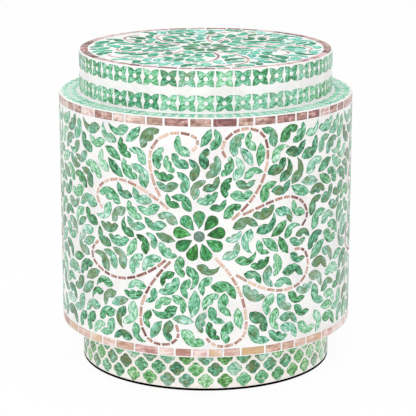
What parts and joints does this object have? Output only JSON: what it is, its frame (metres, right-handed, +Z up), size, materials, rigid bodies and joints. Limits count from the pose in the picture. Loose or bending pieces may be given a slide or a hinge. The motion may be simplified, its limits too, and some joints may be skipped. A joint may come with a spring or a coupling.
{
  "type": "inlaid drum table",
  "caption": "Round drum side table with a raised top and a set-back plinth, white resin over a plywood carcass, inlaid with green shell leaves, a flower, curling vines and brown brick borders.",
  "frame": {"origin": "middle of the underside of the foot pad", "axes": "+Z up; the flower of the front panel looks along -Y"},
  "size_m": [0.38, 0.38, 0.41],
  "materials": {
    "felt_black": "matt black foot pad",
    "fibreboard": "sawn fibreboard",
    "softwood": "planed softwood",
    "plywood": "bent plywood",
    "beech": "plain beech",
    "steel": "zinc plated",
    "resin_white": "polished white resin",
    "shell_green": "polished dyed shell, mint to mid green",
    "shell_deep_green": "polished dyed shell, deep green",
    "shell_grey_green": "polished shell, grey green",
    "shell_brown": "polished brown shell",
    "shell_tan": "polished tan shell"
  },
  "bodies": {
    "root": {"base_pad": "felt_black", "plinth_floor": "fibreboard", "plinth_top": "fibreboard", "drum_floor": "fibreboard", "drum_top": "fibreboard", "drum_former": "fibreboard", "riser_top": "fibreboard", "plinth_blocks": "softwood", "drum_posts": "softwood", "riser_blocks": "softwood", "plinth_hoop": "plywood", "drum_hoop": "plywood", "riser_hoop": "plywood", "post_dowels": "beech", "floor_screws": "steel", "plinth_screws": "steel", "riser_screws": "steel", "plinth_coat": "resin_white", "underside_coat": "resin_white", "drum_coat": "resin_white", "ledge_coat": "resin_white", "riser_coat": "resin_white", "top_coat": "resin_white", "plinth_lozenges": "shell_green", "riser_lower_tiles": "shell_green", "riser_upper_tiles": "shell_green", "ledge_tiles": "shell_green", "drum_leaves": "shell_green", "top_leaves": "shell_green", "drum_petals": "shell_deep_green", "top_petals": "shell_deep_green", "drum_eyes": "shell_grey_green", "top_eye": "shell_grey_green", "drum_lower_bricks": "shell_brown", "drum_upper_bricks": "shell_brown", "top_bricks": "shell_brown", "drum_vines": "shell_tan", "top_vines": "shell_tan"}
  },
  "joints": []
}
